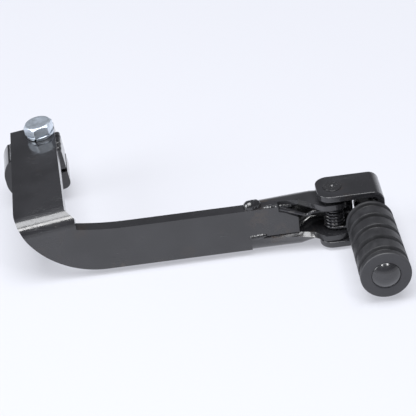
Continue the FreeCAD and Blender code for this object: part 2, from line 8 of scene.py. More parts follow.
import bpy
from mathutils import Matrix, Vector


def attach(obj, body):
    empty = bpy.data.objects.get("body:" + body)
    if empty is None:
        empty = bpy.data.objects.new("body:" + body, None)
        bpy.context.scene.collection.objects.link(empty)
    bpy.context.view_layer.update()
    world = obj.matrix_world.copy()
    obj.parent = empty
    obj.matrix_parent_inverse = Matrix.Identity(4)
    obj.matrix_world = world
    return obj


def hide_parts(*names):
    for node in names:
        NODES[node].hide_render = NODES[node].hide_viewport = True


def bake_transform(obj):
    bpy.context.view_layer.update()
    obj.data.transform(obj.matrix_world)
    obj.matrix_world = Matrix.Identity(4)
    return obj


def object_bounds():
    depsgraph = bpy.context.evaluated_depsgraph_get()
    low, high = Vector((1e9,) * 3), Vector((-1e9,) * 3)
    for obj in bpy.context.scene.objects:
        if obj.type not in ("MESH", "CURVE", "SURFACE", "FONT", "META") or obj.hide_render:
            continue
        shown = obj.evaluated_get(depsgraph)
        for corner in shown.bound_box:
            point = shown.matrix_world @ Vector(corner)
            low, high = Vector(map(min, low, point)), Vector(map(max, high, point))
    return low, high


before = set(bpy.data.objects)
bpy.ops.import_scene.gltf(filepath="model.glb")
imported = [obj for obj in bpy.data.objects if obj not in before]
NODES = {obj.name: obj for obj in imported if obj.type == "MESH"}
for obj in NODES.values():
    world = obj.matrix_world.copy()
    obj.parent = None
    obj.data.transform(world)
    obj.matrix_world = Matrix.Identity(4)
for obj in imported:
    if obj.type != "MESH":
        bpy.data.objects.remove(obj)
CAD_BOX = [list(corner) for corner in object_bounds()]

import math

import bmesh
import bpy
from mathutils import Matrix, Vector

MM = 0.001
print("frame:", len(NODES), "nodes, box", CAD_BOX)

# %% [markdown]
# ## Camera
#
# The lever is looked at from in front and above, through a long lens, so its parallel edges stay
# nearly parallel. A camera could be aimed with a Track To constraint, but that can't roll it. So
# the matrix below is built from three directions: right, up and back.

# %% Camera
EYE = Vector((29.92, -785.99, 455.72)) * MM
RIGHT = Vector((0.9909, -0.1013, -0.0891)).normalized()
LOOK = Vector((0.0399, 0.8511, -0.5235)).normalized()
UP = RIGHT.cross(LOOK).normalized()
RIGHT = LOOK.cross(UP).normalized()
LENS = 202.46
SENSOR = 36.0
CLIP = (0.05, 20.0)

camera = bpy.data.objects.new("camera", bpy.data.cameras.new("camera"))
camera.data.lens = LENS
camera.data.sensor_width = SENSOR
camera.data.clip_start, camera.data.clip_end = CLIP
turn = Matrix((RIGHT, UP, -LOOK)).transposed()
camera.matrix_world = Matrix.Translation(EYE) @ turn.to_4x4()
bpy.context.scene.collection.objects.link(camera)
bpy.context.scene.camera = camera
bpy.context.scene.view_settings.view_transform = "Standard"
print("camera at", tuple(round(c, 3) for c in EYE))

# %% [markdown]
# ## A small language for materials
#
# A node tree could be laid down one node and one link at a time, which takes pages. Shader sums
# are easier to read as Python, so `Wire` wraps a socket, and `a * 0.5 + b` lays down Math nodes.
# Every other node comes from `Sheet.node`, which takes settings first and inputs after.

# %% Wires and sheets
class Wire:
    """A shader socket that can be used in sums."""

    def __init__(self, sheet, socket):
        self.sheet = sheet
        self.socket = socket

    def _sum(self, operation, first, second=0.0):
        return self.sheet.node("ShaderNodeMath", {"operation": operation}, {0: first, 1: second})

    def __add__(self, other):
        return self._sum("ADD", self, other)

    def __radd__(self, other):
        return self._sum("ADD", other, self)

    def __sub__(self, other):
        return self._sum("SUBTRACT", self, other)

    def __rsub__(self, other):
        return self._sum("SUBTRACT", other, self)

    def __mul__(self, other):
        return self._sum("MULTIPLY", self, other)

    def __rmul__(self, other):
        return self._sum("MULTIPLY", other, self)

    def __abs__(self):
        return self._sum("ABSOLUTE", self)

    def ramp(self, low, high, to_low=0.0, to_high=1.0):
        """Stretch low..high to to_low..to_high, clamped, with soft ends."""
        return self.sheet.node("ShaderNodeMapRange", {"interpolation_type": "SMOOTHSTEP"},
                               {0: self, 1: low, 2: high, 3: to_low, 4: to_high})


class Sheet:
    """The node tree of one material, and the pen that draws on it."""

    def __init__(self, name):
        self.material = bpy.data.materials.new(name)
        self.material.use_nodes = True
        self.tree = self.material.node_tree
        self.surface = self.tree.nodes["Principled BSDF"]

    def node(self, kind, settings, inputs, out=0):
        """One node: its settings first, then values or links for its sockets."""
        made = self.tree.nodes.new(kind)
        for key, value in settings.items():
            setattr(made, key, value)
        for key, value in inputs.items():
            self.feed(made.inputs[key], value)
        return Wire(self, made.outputs[out])

    def feed(self, socket, value):
        """Link a wire to a socket, or set its value."""
        if isinstance(value, Wire):
            self.tree.links.new(value.socket, socket)
        else:
            socket.default_value = value

    def set(self, **sockets):
        """Give values or links to the shader's sockets; spaces are written as underscores."""
        for key, value in sockets.items():
            self.feed(self.surface.inputs[key.replace("_", " ")], value)

    def place(self, stretch=(1, 1, 1), turn=(0, 0, 0)):
        """Object coordinates, turned and stretched."""
        where = self.node("ShaderNodeTexCoord", {}, {}, "Object")
        return self.node("ShaderNodeMapping", {},
                         {"Vector": where, "Rotation": turn, "Scale": stretch})

    def axis(self, name):
        """One coordinate, in metres."""
        where = self.node("ShaderNodeTexCoord", {}, {}, "Object")
        return self.node("ShaderNodeSeparateXYZ", {}, {0: where}, name)

    def noise(self, size, detail=2.0, rough=0.5, where=None):
        """Cloudy pattern whose blotches are about `size` metres."""
        return self.node("ShaderNodeTexNoise", {}, {
            "Vector": where or self.place(), "Scale": 1.0 / size, "Detail": detail,
            "Roughness": rough})

    def specks(self, size, out="Distance"):
        """Scattered points, one to a cell of `size` metres: the distance to the nearest, or its
        cell's own colour."""
        return self.node("ShaderNodeTexVoronoi", {}, {
            "Vector": self.place(), "Scale": 1.0 / size}, out)

    def near(self, middle, reach):
        """1 at a place and 0 beyond `reach`, both in millimetres."""
        where = self.node("ShaderNodeTexCoord", {}, {}, "Object")
        gap = self.node("ShaderNodeVectorMath", {"operation": "DISTANCE"},
                        {0: where, 1: tuple(c * MM for c in middle)}, "Value")
        return gap.ramp(0.0, reach * MM, 1.0, 0.0)

    def mix(self, factor, first, second):
        """Blend two colours; 6, 7 and 2 are the Mix node's own sockets for colours."""
        return self.node("ShaderNodeMix", {"data_type": "RGBA"},
                         {0: factor, 6: first, 7: second}, 2)

    def bump(self, height, strength, distance, under=None):
        """A height pattern as a normal, laid over the one `under` it."""
        inputs = {"Height": height, "Strength": strength, "Distance": distance}
        if under is not None:
            inputs["Normal"] = under
        return self.node("ShaderNodeBump", {}, inputs)

    def hairlines(self, turn, size=0.0011, thin=0.012, spread=(0.60, 0.74)):
        """Fine straight scratches: a noise squeezed into long threads, cut where it crosses 0.5."""
        along = self.place((0.03, 1.0, 1.0), turn)
        thread = abs(self.noise(size, 0.0, 0.5, along) - 0.5)
        patch = self.noise(0.009, 1.0, 0.5).ramp(*spread)
        return thread.ramp(0.0, thin, 1.0, 0.0) * patch


def dress(piece, material):
    """Give a piece one material."""
    piece.data.materials.clear()
    piece.data.materials.append(material)


print("shader language ready")

# %% [markdown]
# ## Floor and light
#
# Black enamel is a mirror with manners: what it reflects is most of what one sees. So the light
# comes first. Stronger lamps alone could whiten the floor, but they would darken its shadows
# too. So the floor glows a little by itself. One wide box hangs almost overhead and draws the
# bright band along the fold. Two small panes in front light the rod's domed end. The walls are
# bright low down and dim higher up, where flat tops reflect them, so those stay dark.

# %% Floor
FLOOR_Z = CAD_BOX[0][2]
FLOOR_HALF = 6.0
PAPER_TONES = ((0.30, 0.305, 0.325, 1), (0.33, 0.335, 0.355, 1))
PAPER_GLOW = (0.415, 0.42, 0.455, 1)

floor_mesh = bpy.data.meshes.new("floor")
floor_mesh.from_pydata([(x * FLOOR_HALF, y * FLOOR_HALF, FLOOR_Z)
                        for x, y in ((-1, -1), (1, -1), (1, 1), (-1, 1))], [], [(0, 1, 2, 3)])
floor = bpy.data.objects.new("floor", floor_mesh)
bpy.context.scene.collection.objects.link(floor)
paper = Sheet("pale_paper")
cloud = paper.noise(0.35, 2.0)
paper.set(Base_Color=paper.mix(cloud, *PAPER_TONES), Roughness=0.95, Specular_IOR_Level=0.05,
          Emission_Strength=1.0, Emission_Color=PAPER_GLOW)
dress(floor, paper.material)
print("floor at", round(FLOOR_Z, 4))


# %% Studio lights
def softbox(name, where, aim, width, depth, power, colour=(1, 1, 1)):
    """A rectangular studio light that faces a point."""
    lamp = bpy.data.lights.new(name, "AREA")
    lamp.shape = "RECTANGLE"
    lamp.size = width
    lamp.size_y = depth
    lamp.energy = power
    lamp.color = colour
    placed = bpy.data.objects.new(name, lamp)
    placed.location = where
    facing = Vector(aim) - Vector(where)
    placed.rotation_euler = facing.to_track_quat("-Z", "Y").to_euler()
    bpy.context.scene.collection.objects.link(placed)


softbox("top_box", (0.05, -0.28, 1.3), (0.05, -0.05, 0), 1.1, 0.72, 19, (0.97, 0.98, 1.0))
softbox("left_box", (-1.2, -0.3, 0.7), (0.0, -0.05, 0), 0.7, 0.7, 12, (0.95, 0.97, 1.0))
DOME_X, PANE_SIDE = 0.125, 0.36
for side in (-1, 1):
    softbox("front_pane", (DOME_X + side * PANE_SIDE, -0.86, 1.10), (0.12, -0.1, 0),
            0.22, 0.32, 3.2)

# %% Walls and ceiling
# (height of the direction looked in, from 0 at the horizon to 1 overhead; grey found there)
WALLS = ((0.0, 0.80), (0.16, 0.58), (0.34, 0.11), (0.72, 0.12), (1.0, 0.50))
WALL_TINT = (0.96, 0.98, 1.04)

world = bpy.data.worlds.new("studio")
bpy.context.scene.world = world
world.use_nodes = True
sky = world.node_tree
facing = sky.nodes.new("ShaderNodeTexCoord")
split = sky.nodes.new("ShaderNodeSeparateXYZ")
sky.links.new(facing.outputs["Generated"], split.inputs[0])
fade = sky.nodes.new("ShaderNodeValToRGB")
fade.color_ramp.interpolation = "EASE"
for height, grey in WALLS[1:-1]:
    fade.color_ramp.elements.new(height)
for stop, (height, grey) in zip(fade.color_ramp.elements, WALLS):
    stop.position = height
    stop.color = (*(grey * tint for tint in WALL_TINT), 1)
sky.links.new(split.outputs["Z"], fade.inputs[0])
sky.links.new(fade.outputs[0], sky.nodes["Background"].inputs["Color"])
sky.nodes["Background"].inputs["Strength"].default_value = 1.0
print("walls:", len(WALLS), "steps from horizon to ceiling")

# %% [markdown]
# ## Black enamel
#
# The bars are dipped or sprayed with thick gloss enamel and baked. Baked paint is never quite
# flat: it dries in a shallow ripple called orange peel, it carries dust specks, and handling
# leaves hairline scratches. Welding scorches it brown in spots. A painted texture could hold all
# of this, but it would need an unwrapped mesh. Here each is a pattern in the object's own
# coordinates, so it runs over every part at one scale.

# %% Enamel
STAIN_BROWN = (0.060, 0.045, 0.036, 1)
SCRATCH_GREY = (0.12, 0.12, 0.125, 1)


def scaled(shade, *parts):
    """A colour whose three parts are shares of one shade."""
    return (*(shade * part for part in parts), 1)


def enamel(name, shade=0.0165, gloss=0.17, peel=0.22, coarse=1.0, stains=(), rubs=()):
    """Thick gloss paint: ripple, dust, hairlines, and a faint brown tint where it thins.

    `stains` and `rubs` are (place, reach) pairs in millimetres, for scorched and scuffed spots.
    """
    sheet = Sheet(name)
    ripple = sheet.noise(0.0016 * coarse, 2.0, 0.5)
    grain = sheet.noise(0.00028, 2.0, 0.6)
    dust = sheet.specks(0.0022).ramp(0.03, 0.10, 1.0, 0.0)
    wide = sheet.noise(0.016, 2.0, 0.5)
    lines = sheet.hairlines((0.5, 0.4, 0.7)) + sheet.hairlines((0.2, -0.5, -0.5), 0.0014)
    black = scaled(shade, 1.0, 1.0, 1.12)
    soft = scaled(shade, 1.5, 1.5, 1.68)
    brown = scaled(shade, 2.3, 1.7, 1.35)
    tint = sheet.noise(0.011, 3.0, 0.6).ramp(0.60, 0.75)
    colour = sheet.mix(wide.ramp(0.35, 0.7), black, soft)
    colour = sheet.mix(sheet.noise(0.00055, 2.0, 0.6).ramp(0.35, 0.65) * 0.30, colour, soft)
    colour = sheet.mix(tint * 0.40, colour, brown)
    for middle, reach in stains:
        stain = sheet.near(middle, reach) * sheet.noise(0.0022, 3.0, 0.6).ramp(0.42, 0.62)
        colour = sheet.mix(stain * 0.5, colour, STAIN_BROWN)
    for middle, reach in rubs:
        lines = lines + sheet.near(middle, reach) * (
            sheet.hairlines((0.3, 0.9, 0.35), 0.0007, 0.03, (0.2, 0.4))
            + sheet.hairlines((-0.2, 0.5, -0.6), 0.0009, 0.03, (0.3, 0.5)))
    colour = sheet.mix(lines * 0.28, colour, SCRATCH_GREY)
    rough = wide.ramp(0.3, 0.7, gloss - 0.03, gloss + 0.05) + lines * 0.25 + dust * 0.15
    normal = sheet.bump(ripple, peel, 0.00022)
    normal = sheet.bump(grain, 0.10, 0.00002, normal)
    normal = sheet.bump(dust, 0.35, 0.00003, normal)
    normal = sheet.bump(lines, -0.3, 0.00002, normal)
    sheet.set(Base_Color=colour, Roughness=rough, Normal=normal, IOR=1.55,
              Coat_Weight=0.55, Coat_Roughness=0.07)
    return sheet.material


# %% Four enamels
BAR_ENAMEL = enamel("bar_enamel", stains=(
    ((30.0, -63.1, -9.0), 5.0), ((44.0, -63.1, -9.2), 3.0), ((1.0, -62.0, 1.0), 4.0),
    ((82.0, -63.1, 4.0), 7.0), ((90.0, -63.1, -3.5), 6.0)), rubs=(
    ((3.0, -58.5, 11.5), 9.0), ((9.5, -58.5, 12.5), 7.0)))
BRACKET_ENAMEL = enamel("bracket_enamel", 0.018, 0.21, 0.26, 0.9, stains=(
    ((88.0, -63.3, -5.5), 8.0), ((99.0, -62.0, -6.0), 6.0), ((84.0, -58.0, 6.8), 7.0)))
WELD_ENAMEL = enamel("weld_enamel", 0.014, 0.12, 0.30, 0.55)
ROD_ENAMEL = enamel("rod_enamel", 0.018, 0.15, 0.12, 0.8)
print("enamels:", [m.name for m in (BAR_ENAMEL, BRACKET_ENAMEL, WELD_ENAMEL, ROD_ENAMEL)])

# %% [markdown]
# ## Zinc, spring steel and pin steel
#
# Bolts are tumbled and plated, which leaves a silvery blue skin with tiny crystal facets and a
# few knocks. The spring's wire is drawn through a die and oil-tempered, so it is dark and glossy
# with fine lines. The pin's head was pressed flat and then painted thinly. One flat metal colour
# would look like plastic. Cells of a Voronoi pattern give plating its crystals, and clouds of
# noise dull it unevenly.

# %% Zinc plating
def zinc(name, light, rough):
    """Plated fastener: crystal flecks, cloudy tarnish and small dents."""
    sheet = Sheet(name)
    fleck = sheet.node("ShaderNodeSeparateColor", {}, {0: sheet.specks(0.00045, "Color")})
    cloud = sheet.noise(0.0024, 3.0, 0.6)
    dents = sheet.noise(0.0007, 2.0, 0.6)
    bright = scaled(light, 0.90, 0.98, 1.06)
    dull = scaled(light, 0.60, 0.66, 0.74)
    colour = sheet.mix(cloud.ramp(0.35, 0.7) * 0.7 + fleck * 0.25, bright, dull)
    normal = sheet.bump(fleck, 0.12, 0.00003)
    normal = sheet.bump(dents, 0.45, 0.00006, normal)
    sheet.set(Base_Color=colour, Metallic=1.0, Normal=normal,
              Roughness=cloud.ramp(0.3, 0.75, rough - 0.06, rough + 0.12) + fleck * 0.06)
    return sheet.material


BOLT_ZINC = zinc("bolt_zinc", 0.94, 0.42)
WASHER_ZINC = zinc("washer_zinc", 0.84, 0.34)
print("zinc:", BOLT_ZINC.name, WASHER_ZINC.name)


# %% Wire and pin
WIRE_DARK, WIRE_RUBBED = (0.030, 0.030, 0.034, 1), (0.20, 0.19, 0.18, 1)
PIN_PAINT, PIN_WORN = (0.022, 0.022, 0.024, 1), (0.13, 0.13, 0.135, 1)


def spring_steel():
    """Dark tempered wire with fine lines and rubbed bright spots."""
    sheet = Sheet("tempered_wire")
    lines = sheet.noise(0.00018, 2.0, 0.6, sheet.place((1, 1, 6)))
    rubbed = sheet.noise(0.0016, 2.0, 0.5).ramp(0.55, 0.72)
    colour = sheet.mix(rubbed * 0.6, WIRE_DARK, WIRE_RUBBED)
    sheet.set(Base_Color=colour, Metallic=0.45, Roughness=lines.ramp(0.3, 0.7, 0.14, 0.30),
              Normal=sheet.bump(lines, 0.25, 0.00003), Coat_Weight=0.5, Coat_Roughness=0.08)
    return sheet.material


def pin_steel():
    """Pressed steel under a thin coat of paint, worn through in small spots."""
    sheet = Sheet("painted_pin")
    worn = sheet.noise(0.0009, 3.0, 0.6).ramp(0.56, 0.70)
    ripple = sheet.noise(0.0007, 2.0, 0.5)
    colour = sheet.mix(worn * 0.5, PIN_PAINT, PIN_WORN)
    sheet.set(Base_Color=colour, Metallic=worn * 0.4, Roughness=worn * 0.12 + 0.20,
              Normal=sheet.bump(ripple, 0.35, 0.00008), Coat_Weight=0.4, Coat_Roughness=0.1)
    return sheet.material


WIRE_STEEL = spring_steel()
PIN_STEEL = pin_steel()
print("steels:", WIRE_STEEL.name, PIN_STEEL.name)

# %% [markdown]
# ## Moulded rubber
#
# The sleeve is moulded in a blasted steel tool, so it is satin with a fine pebble. Its grooves
# are painted near black, as painted shade, and its outer end face is painted paler, as painted
# light where it faces the floor. Both could be separate materials on chosen faces. Masks made from
# the distance to the peg's axis and from the place along it do the same with one material and no
# hard border.

# %% Rubber
PEG_AXIS = (121.8, -0.4)
SLEEVE_INNER, SLEEVE_OUTER = -67.9, -104.8
RUBBER_TONES = ((0.017, 0.017, 0.019, 1), (0.027, 0.027, 0.030, 1))
# Painted shade: a near-black colour laid in the grooves.
GROOVE_PAINTED_SHADE = (0.006, 0.006, 0.007, 1)
# Painted light: a paler colour laid on the outer end face, which faces the floor.
END_PAINTED_LIGHT = (0.048, 0.048, 0.053, 1)
SPECK_GREY = (0.10, 0.10, 0.105, 1)
# Squares of the distance from the peg's axis: in a groove below the first, on a rib above the
# second.
SUNK_RADII_SQUARED = (62.0, 72.0)
END_FROM, END_TO = SLEEVE_OUTER + 0.2, SLEEVE_OUTER + 0.6


def moulded_rubber():
    """Satin black rubber: pebble grain, bloom, pale specks, painted shade in grooves, painted light
    on the end.
    """
    sheet = Sheet("moulded_rubber")
    pebble = sheet.noise(0.00022, 3.0, 0.6)
    bloom = sheet.noise(0.004, 3.0, 0.6)
    specks = sheet.specks(0.0013).ramp(0.05, 0.10, 1.0, 0.0)
    colour = sheet.mix(bloom.ramp(0.4, 0.75), *RUBBER_TONES)
    colour = sheet.mix(specks * 0.35, colour, SPECK_GREY)
    east = sheet.axis("X") - PEG_AXIS[0] * MM
    up = sheet.axis("Z") - PEG_AXIS[1] * MM
    around = (east * east + up * up) * (1 / MM ** 2)
    end_face = sheet.axis("Y").ramp(END_FROM * MM, END_TO * MM, 1.0, 0.0)
    groove_shade_mask = around.ramp(*SUNK_RADII_SQUARED, 1.0, 0.0) * (1 - end_face)
    # Painted shade in the grooves.
    colour = sheet.mix(groove_shade_mask * 0.75, colour, GROOVE_PAINTED_SHADE)
    # Painted light on the outer end face.
    colour = sheet.mix(end_face * 0.8, colour, END_PAINTED_LIGHT)
    normal = sheet.bump(pebble, 0.35, 0.00005)
    normal = sheet.bump(bloom, 0.25, 0.0002, normal)
    sheet.set(Base_Color=colour, Normal=normal,
              Roughness=bloom.ramp(0.35, 0.7, 0.40, 0.54) + pebble * 0.06)
    return sheet.material


RUBBER = moulded_rubber()
print("rubber:", RUBBER.name)

# %% [markdown]
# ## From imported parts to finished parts
#
# Sheet metal is cut and folded, so its corners are crisp but never razor sharp: paint rounds
# them. The bars could be modelled again by hand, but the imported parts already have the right
# shape. So each is copied, its loose triangles are joined into whole faces, and its corners get
# a small rounded bevel. Normals are weighted by area, so flats stay flat up to their rims. The
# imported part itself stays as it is, for the physics.

# %% Copy and soften
EASE_ANGLE = math.radians(32)
SMOOTH_COSINE = math.cos(math.radians(50))
SAME_SPOT = 1e-6
FLAT_ANGLE = math.radians(0.6)
BORE_REACH = 5.2


def joined_copy(node):
    """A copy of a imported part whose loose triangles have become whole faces."""
    shape = bmesh.new()
    shape.from_mesh(NODES[node].data)
    bmesh.ops.remove_doubles(shape, verts=shape.verts, dist=SAME_SPOT)
    bmesh.ops.dissolve_limit(shape, angle_limit=FLAT_ANGLE, verts=shape.verts,
                             edges=shape.edges)
    return shape


def finish_piece(shape, name, material, body, nodes):
    """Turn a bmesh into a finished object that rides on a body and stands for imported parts."""
    mesh = bpy.data.meshes.new(name)
    bmesh.ops.triangulate(shape, faces=[f for f in shape.faces if len(f.verts) > 4])
    shape.to_mesh(mesh)
    shape.free()
    piece = bpy.data.objects.new(name, mesh)
    bpy.context.scene.collection.objects.link(piece)
    settle(piece, material, body, nodes)
    return piece


def firm_normals(mesh):
    """Each corner's normal is the area-weighted mean of the faces that run on smoothly there."""
    around = [[] for _ in mesh.vertices]
    for face in mesh.polygons:
        for vertex in face.vertices:
            around[vertex].append(face)
    normals = []
    for face in mesh.polygons:
        for vertex in face.vertices:
            total = Vector((0, 0, 0))
            for other in around[vertex]:
                if face.normal.dot(other.normal) > SMOOTH_COSINE:
                    total += other.normal * other.area
            normals.append(total.normalized() if total.length > 0 else face.normal)
    mesh.normals_split_custom_set(normals)


def smooth(mesh):
    """Shade every face smoothly."""
    for face in mesh.polygons:
        face.use_smooth = True


def settle(piece, material, body, nodes):
    """Smooth shading, material and body for a finished piece."""
    smooth(piece.data)
    firm_normals(piece.data)
    dress(piece, material)
    if nodes:
        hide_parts(*nodes)
    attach(piece, body)


def ease(shape, edges, width):
    """Round these edges of a bmesh by `width` millimetres."""
    bmesh.ops.bevel(shape, geom=edges, offset=width * MM, offset_type="OFFSET", segments=2,
                    profile=0.5, affect="EDGES", clamp_overlap=True)


def eased(node, width, material, body, keep_sharp=None):
    """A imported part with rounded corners, `width` millimetres wide."""
    shape = joined_copy(node)
    edges = []
    for edge in shape.edges:
        if len(edge.link_faces) != 2 or edge.calc_face_angle(0.0) < EASE_ANGLE:
            continue
        middle = (edge.verts[0].co + edge.verts[1].co) / 2
        if keep_sharp is None or not keep_sharp(middle):
            edges.append(edge)
    count = len(edges)
    ease(shape, edges, width)
    piece = finish_piece(shape, node + "_eased", material, body, [node])
    print(piece.name, len(piece.data.polygons), "faces from", count, "corner edges")


def in_bore(point):
    """True close to the spindle bore's axis, where the fine serrations are."""
    return math.hypot(point.x, point.z) < BORE_REACH * MM


# %% The eased parts
eased("lever_arm", 0.35, BAR_ENAMEL, "lever")
eased("clamp_hub", 0.30, BAR_ENAMEL, "lever", in_bore)
eased("end_bracket", 0.25, BRACKET_ENAMEL, "lever")
eased("tip_bracket", 0.30, BRACKET_ENAMEL, "tip")
eased("pivot_spacer", 0.15, BRACKET_ENAMEL, "lever")
eased("pivot_pin", 0.12, PIN_STEEL, "tip")
eased("peg_rod", 0.20, ROD_ENAMEL, "tip")

# %% [markdown]
# ## A tube that follows a path: the torsion spring
#
# The spring is one wire: a leg along the arm's outer face, six turns round the pin, and a short
# leg that pushes the folding peg back. A Screw modifier could wind the turns, but not the legs.
# Geometry Nodes sweep a round section along the whole path, so the wire stays equally thick and
# has no seams. The same small tree also makes the bolt's thread.

# %% A Geometry Nodes tree and how to run it
def run_tree(name, group, source, values):
    """Put a tree on a mesh, set its named inputs, and return the result as a plain object."""
    holder = bpy.data.objects.new(name, source)
    bpy.context.scene.collection.objects.link(holder)
    modifier = holder.modifiers.new("maker", "NODES")
    modifier.node_group = group
    keys = {item.name: item.identifier for item in group.interface.items_tree
            if item.in_out == "INPUT"}
    for label, value in values.items():
        modifier[keys[label]] = value
    graph = bpy.context.evaluated_depsgraph_get()
    mesh = bpy.data.meshes.new_from_object(holder.evaluated_get(graph))
    mesh.name = name
    holder.modifiers.clear()
    holder.data = mesh
    return holder


class Tree:
    """A Geometry Nodes tree from geometry to geometry. `inputs` are (name, kind) pairs."""

    def __init__(self, name, inputs):
        self.group = bpy.data.node_groups.new(name, "GeometryNodeTree")
        face = self.group.interface
        face.new_socket("Geometry", in_out="INPUT", socket_type="NodeSocketGeometry")
        for label, kind in inputs:
            face.new_socket(label, in_out="INPUT", socket_type="NodeSocket" + kind)
        face.new_socket("Geometry", in_out="OUTPUT", socket_type="NodeSocketGeometry")
        self.start = self.group.nodes.new("NodeGroupInput")
        self.end = self.group.nodes.new("NodeGroupOutput")

    def given(self, label):
        """One of the tree's named inputs."""
        return self.start.outputs[label]

    def sum(self, operation, first, second=0.0):
        """One step of sums on numbers."""
        return self.add("ShaderNodeMath", {0: first, 1: second}, {"operation": operation})

    def add(self, kind, inputs, settings=None, out=0):
        """One node, linked or set like a material's."""
        made = self.group.nodes.new(kind)
        for key, value in (settings or {}).items():
            setattr(made, key, value)
        for key, value in inputs.items():
            socket = made.inputs[key]
            if isinstance(value, bpy.types.NodeSocket):
                self.group.links.new(value, socket)
            else:
                socket.default_value = value
        return made.outputs[out]

    def close(self, geometry, material):
        """Realize Instances, Set Material, and out."""
        real = self.add("GeometryNodeRealizeInstances", {0: geometry})
        done = self.add("GeometryNodeSetMaterial", {"Geometry": real, "Material": material})
        self.group.links.new(done, self.end.inputs[0])
        return self.group


def path_mesh(name, points):
    """An open row of points, in millimetres, as a mesh of edges."""
    mesh = bpy.data.meshes.new(name)
    mesh.from_pydata([tuple(c * MM for c in p) for p in points],
                     [(i, i + 1) for i in range(len(points) - 1)], [])
    return mesh


def wire_tree():
    """A round section swept along a row of points."""
    tree = Tree("wire_on_a_path", [("Wire Radius", "Float"), ("Sides", "Int"),
                                   ("Material", "Material")])
    line = tree.add("GeometryNodeMeshToCurve", {"Mesh": tree.given("Geometry")})
    ring = tree.add("GeometryNodeCurvePrimitiveCircle",
                    {"Radius": tree.given("Wire Radius"), "Resolution": tree.given("Sides")})
    tube = tree.add("GeometryNodeCurveToMesh", {"Curve": line, "Profile Curve": ring,
                                                "Fill Caps": True})
    return tree.close(tube, tree.given("Material"))


WIRE_TREE = wire_tree()
print("tree:", WIRE_TREE.name)


# %% The spring's path
PIVOT = (109.85, -59.3)
COIL_RADIUS = 3.2
COIL_LOW, COIL_HIGH, TURNS = -4.85, 3.65, 6
WIRE_RADIUS = 0.6
WIRE_SIDES = 18
STEPS_PER_TURN = 40
LEG_CUT = 0.9
MOST_OF_RUN = 0.45
BEND_STEPS = 6
UPPER_BENDS = [(103.6, -63.2, 3.85), (101.4, -63.75, 4.1), (99.8, -63.75, 2.9),
               (89.7, -63.75, 7.2)]
LOWER_BENDS = [(115.05, -62.7, -4.75), (117.15, -66.4, -4.35)]


def rounded(points, cut):
    """Round the inner corners of a row of points with short curves."""
    row = [Vector(p) for p in points]
    result = [row[0]]
    for before, here, after in zip(row, row[1:], row[2:]):
        back = min(cut, (before - here).length * MOST_OF_RUN)
        ahead = min(cut, (after - here).length * MOST_OF_RUN)
        first = here + (before - here).normalized() * back
        last = here + (after - here).normalized() * ahead
        for step in range(BEND_STEPS + 1):
            t = step / BEND_STEPS
            result.append(first * (1 - t) ** 2 + here * 2 * t * (1 - t) + last * t * t)
    return [tuple(p) for p in result + [row[-1]]]


coil = []
for step in range(TURNS * STEPS_PER_TURN + 1):
    share = step / (TURNS * STEPS_PER_TURN)
    angle = -math.pi / 2 - share * TURNS * math.tau
    coil.append((PIVOT[0] + COIL_RADIUS * math.cos(angle),
                 PIVOT[1] + COIL_RADIUS * math.sin(angle),
                 COIL_LOW + (COIL_HIGH - COIL_LOW) * share))
upper_leg = rounded([coil[-1]] + UPPER_BENDS, LEG_CUT)
lower_leg = rounded([coil[0]] + LOWER_BENDS, LEG_CUT)
spring_path = lower_leg[:0:-1] + coil + upper_leg[1:]
print("spring path:", len(spring_path), "points")

# %% The spring's wire
spring = run_tree("spring_wire", WIRE_TREE, path_mesh("spring_path", spring_path),
                  {"Wire Radius": WIRE_RADIUS * MM, "Sides": WIRE_SIDES,
                   "Material": WIRE_STEEL})
smooth(spring.data)
dress(spring, WIRE_STEEL)
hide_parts("torsion_spring")
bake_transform(spring)
print("spring wire:", len(spring.data.polygons), "faces")

# %% [markdown]
# ## Weld beads
#
# A weld is a chain of frozen puddles. It could be sculpted, but there are nine. Each bead starts
# as a row of balls of uneven size along the seam. Turning them into a volume and back melts them
# into one skin, and a noise roughens it. A fixed seed for each bead keeps it the same every run.

# %% Bead tree
LUMPS_PER_METRE, LUMP_LEVEL = 900.0, 0.62


